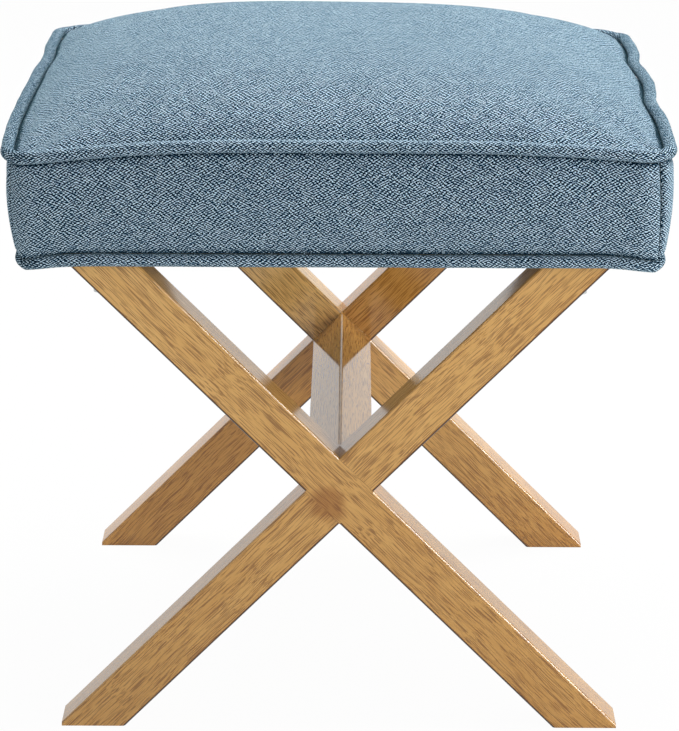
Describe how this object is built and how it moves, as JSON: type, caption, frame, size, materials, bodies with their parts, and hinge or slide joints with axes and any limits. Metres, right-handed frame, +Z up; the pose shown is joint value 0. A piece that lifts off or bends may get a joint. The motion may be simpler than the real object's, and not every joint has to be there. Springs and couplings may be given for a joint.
{
  "type": "square ottoman",
  "caption": "Square upholstered ottoman with a crowned, piped box seat on crossed wooden leg frames joined by a stretcher set on its corner.",
  "frame": {"origin": "on the floor, under the middle of the seat", "axes": "+Z up; front towards -Y, so the crossed frames stand in planes of constant Y and the stretcher runs along Y"},
  "size_m": [0.4634, 0.4634, 0.4692],
  "materials": {
    "oak": "honey-stained oak, satin lacquer",
    "beech": "bare turned beech",
    "pine": "sawn pine",
    "plywood": "bare birch plywood",
    "foam": "cut polyurethane foam",
    "wadding": "loose polyester wadding",
    "tweed": "chunky two-tone blue weave",
    "cord": "cotton filler cord",
    "cambric": "black non-woven dust cover",
    "zinc": "zinc plated"
  },
  "bodies": {
    "root": {"front_leg_outer_lap": "oak", "front_leg_inner_lap": "oak", "rear_leg_outer_lap": "oak", "rear_leg_inner_lap": "oak", "stretcher": "oak", "front_dowel_upper": "beech", "front_dowel_lower": "beech", "rear_dowel_upper": "beech", "rear_dowel_lower": "beech", "front_rail": "pine", "rear_rail": "pine", "left_rail": "pine", "right_rail": "pine", "corner_block_front_left": "pine", "corner_block_front_right": "pine", "corner_block_rear_left": "pine", "corner_block_rear_right": "pine", "seat_deck": "plywood", "seat_foam": "foam", "wadding_wrap": "wadding", "top_panel": "tweed", "boxing_front": "tweed", "boxing_right": "tweed", "boxing_rear": "tweed", "boxing_left": "tweed", "top_welt": "tweed", "top_welt_cord": "cord", "bottom_welt": "tweed", "bottom_welt_cord": "cord", "dust_cover": "cambric", "bolt_front_left": "zinc", "bolt_front_right": "zinc", "bolt_rear_left": "zinc", "bolt_rear_right": "zinc", "washer_front_left": "zinc", "washer_front_right": "zinc", "washer_rear_left": "zinc", "washer_rear_right": "zinc", "nut_front_left": "zinc", "nut_front_right": "zinc", "nut_rear_left": "zinc", "nut_rear_right": "zinc"}
  },
  "joints": []
}
